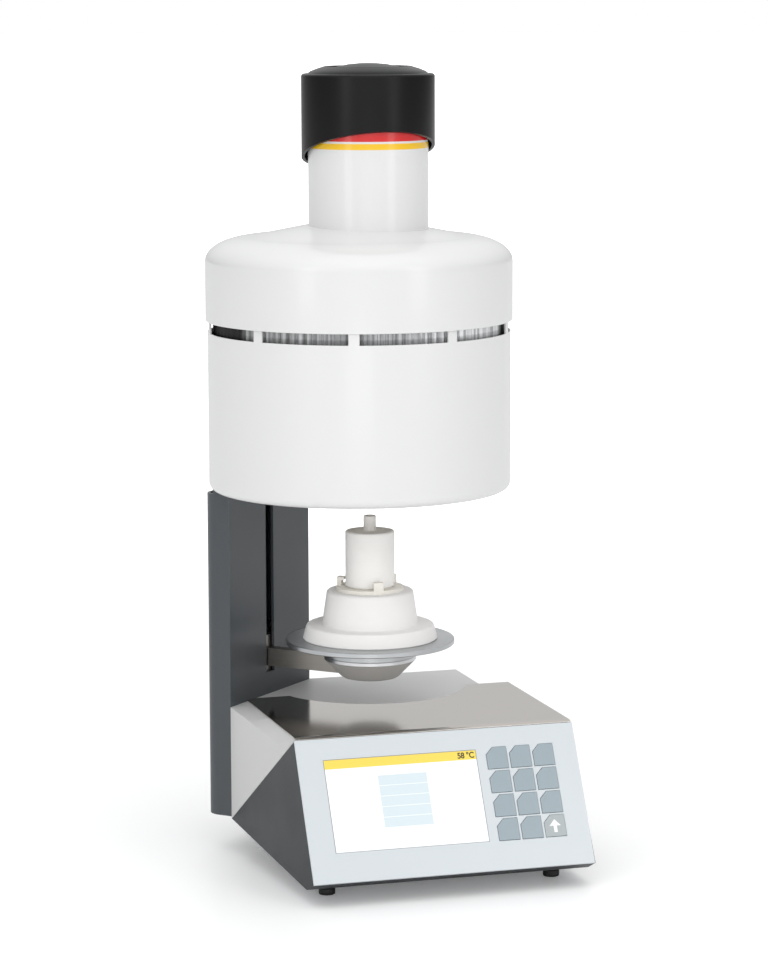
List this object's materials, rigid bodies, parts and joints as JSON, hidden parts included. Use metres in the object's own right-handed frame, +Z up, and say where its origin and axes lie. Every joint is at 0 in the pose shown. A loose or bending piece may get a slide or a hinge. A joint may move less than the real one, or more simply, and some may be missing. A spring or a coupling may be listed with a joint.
{
  "type": "dental lab press furnace",
  "caption": "Bench press furnace: a lifting firing table on a side column under a round white heating head with a press tower, on a wedge base with a touch panel and keypad.",
  "frame": {"origin": "middle of the whole outline at the feet's resting plane", "axes": "+X to the right seen from the front, +Y to the rear, +Z up"},
  "size_m": [0.3241, 0.3646, 0.782],
  "materials": {
    "anthracite_paint": "satin powder coat",
    "light_grey_paint": "satin powder coat",
    "brushed_deck": "brushed",
    "panel_film": "satin film",
    "screen": "glossy",
    "key_film": "satin film",
    "start_key_film": "satin film",
    "circuit_board": "satin",
    "zinc_steel": "satin",
    "bright_steel": "polished",
    "aluminium": "satin, polished edges",
    "cone_grey": "matte",
    "arm_steel": "satin",
    "brass": "satin",
    "black_plastic": "matte",
    "rocker_red": "gloss",
    "rubber": "matte",
    "fibre_white": "matte",
    "tray_cream": "matte",
    "muffle_white": "matte",
    "plunger_beige": "matte",
    "quartz": "satin",
    "white_paint": "gloss powder coat",
    "shield_sheet": "bright",
    "cap_black": "satin"
  },
  "bodies": {
    "frame": {"base_shell": "anthracite_paint", "base_plate": "zinc_steel", "rear_housing": "light_grey_paint", "top_plate": "brushed_deck", "front_panel": "panel_film", "display_module": "zinc_steel", "display_screen": "screen", "keypad_board": "circuit_board", "rubber_feet": "rubber", "control_board": "circuit_board", "power_supply": "zinc_steel", "fan_frame": "black_plastic", "mains_inlet": "black_plastic", "switch_housing": "black_plastic", "vacuum_port": "brass", "column": "anthracite_paint", "column_back": "anthracite_paint", "guide_rails": "bright_steel", "screw_bearings": "aluminium", "lift_motor": "black_plastic", "head_bracket": "zinc_steel", "base_ring": "zinc_steel", "lower_jacket": "white_paint", "upper_cover": "white_paint", "heat_shield": "shield_sheet", "chamber_insulation": "fibre_white", "heating_coil": "quartz", "chamber_seal": "fibre_white", "thermocouple": "fibre_white", "tower_tube": "white_paint", "tower_cap": "cap_black", "press_motor": "black_plastic", "ram_bush": "brass"},
    "table": {"carriage": "aluminium", "screw_nut": "brass", "lift_arm": "arm_steel", "arm_bolts": "zinc_steel", "table_cone": "cone_grey", "table_disk": "aluminium", "insulator": "fibre_white", "claw_tray": "tray_cream"},
    "muffle": {"muffle": "muffle_white"},
    "plunger": {"plunger": "plunger_beige"},
    "lift_screw": {"lead_screw": "bright_steel", "motor_coupling": "aluminium"},
    "ram": {"press_ram": "plunger_beige"},
    "rocker": {"switch_rocker": "rocker_red"},
    "fan": {"fan_rotor": "black_plastic"},
    "key_1": {"key_1": "key_film"},
    "key_2": {"key_2": "key_film"},
    "key_3": {"key_3": "key_film"},
    "key_4": {"key_4": "key_film"},
    "key_5": {"key_5": "key_film"},
    "key_6": {"key_6": "key_film"},
    "key_7": {"key_7": "key_film"},
    "key_8": {"key_8": "key_film"},
    "key_9": {"key_9": "key_film"},
    "key_10": {"key_10": "key_film"},
    "key_11": {"key_11": "key_film"},
    "start_key": {"start_key": "start_key_film"}
  },
  "joints": [
    {"name": "lift", "type": "slide", "parent": "frame", "child": "table", "axis": [0, 0, 1], "range_m": [0, 0.157]},
    {"name": "screw_turn", "type": "hinge", "parent": "frame", "child": "lift_screw", "pos_m": [-0.09743, 0.11409, 0.11], "axis": [0, 0, 1], "range_deg": [-10, 5670]},
    {"name": "press", "type": "slide", "parent": "frame", "child": "ram", "axis": [0, 0, 1], "range_m": [-0.05, 0]},
    {"name": "muffle_lift_off", "type": "slide", "parent": "table", "child": "muffle", "axis": [0, 0, 1], "range_m": [0, 0.008]},
    {"name": "plunger_lift_off", "type": "slide", "parent": "muffle", "child": "plunger", "axis": [0, 0, 1], "range_m": [0, 0.008]},
    {"name": "rocker_swing", "type": "hinge", "parent": "frame", "child": "rocker", "pos_m": [0.10479, 0.15771, 0.072], "axis": [1, 0, 0], "range_deg": [0, 14]},
    {"name": "fan_spin", "type": "hinge", "parent": "frame", "child": "fan", "pos_m": [0.04079, 0.14871, 0.1], "axis": [0, 1, 0], "continuous": true},
    {"name": "key_1_press", "type": "slide", "parent": "frame", "child": "key_1", "axis": [0, 0.8741, -0.4857], "range_m": [0, 0.0005], "stiffness_N_per_m": 400, "springref_m": -0.0005},
    {"name": "key_2_press", "type": "slide", "parent": "frame", "child": "key_2", "axis": [0, 0.8741, -0.4857], "range_m": [0, 0.0005], "stiffness_N_per_m": 400, "springref_m": -0.0005},
    {"name": "key_3_press", "type": "slide", "parent": "frame", "child": "key_3", "axis": [0, 0.8741, -0.4857], "range_m": [0, 0.0005], "stiffness_N_per_m": 400, "springref_m": -0.0005},
    {"name": "key_4_press", "type": "slide", "parent": "frame", "child": "key_4", "axis": [0, 0.8741, -0.4857], "range_m": [0, 0.0005], "stiffness_N_per_m": 400, "springref_m": -0.0005},
    {"name": "key_5_press", "type": "slide", "parent": "frame", "child": "key_5", "axis": [0, 0.8741, -0.4857], "range_m": [0, 0.0005], "stiffness_N_per_m": 400, "springref_m": -0.0005},
    {"name": "key_6_press", "type": "slide", "parent": "frame", "child": "key_6", "axis": [0, 0.8741, -0.4857], "range_m": [0, 0.0005], "stiffness_N_per_m": 400, "springref_m": -0.0005},
    {"name": "key_7_press", "type": "slide", "parent": "frame", "child": "key_7", "axis": [0, 0.8741, -0.4857], "range_m": [0, 0.0005], "stiffness_N_per_m": 400, "springref_m": -0.0005},
    {"name": "key_8_press", "type": "slide", "parent": "frame", "child": "key_8", "axis": [0, 0.8741, -0.4857], "range_m": [0, 0.0005], "stiffness_N_per_m": 400, "springref_m": -0.0005},
    {"name": "key_9_press", "type": "slide", "parent": "frame", "child": "key_9", "axis": [0, 0.8741, -0.4857], "range_m": [0, 0.0005], "stiffness_N_per_m": 400, "springref_m": -0.0005},
    {"name": "key_10_press", "type": "slide", "parent": "frame", "child": "key_10", "axis": [0, 0.8741, -0.4857], "range_m": [0, 0.0005], "stiffness_N_per_m": 400, "springref_m": -0.0005},
    {"name": "key_11_press", "type": "slide", "parent": "frame", "child": "key_11", "axis": [0, 0.8741, -0.4857], "range_m": [0, 0.0005], "stiffness_N_per_m": 400, "springref_m": -0.0005},
    {"name": "start_key_press", "type": "slide", "parent": "frame", "child": "start_key", "axis": [0, 0.8741, -0.4857], "range_m": [0, 0.0005], "stiffness_N_per_m": 400, "springref_m": -0.0005}
  ],
  "couplings": [
    {"joint": "screw_turn", "follows": "lift", "rad_per_m": 628.32}
  ]
}
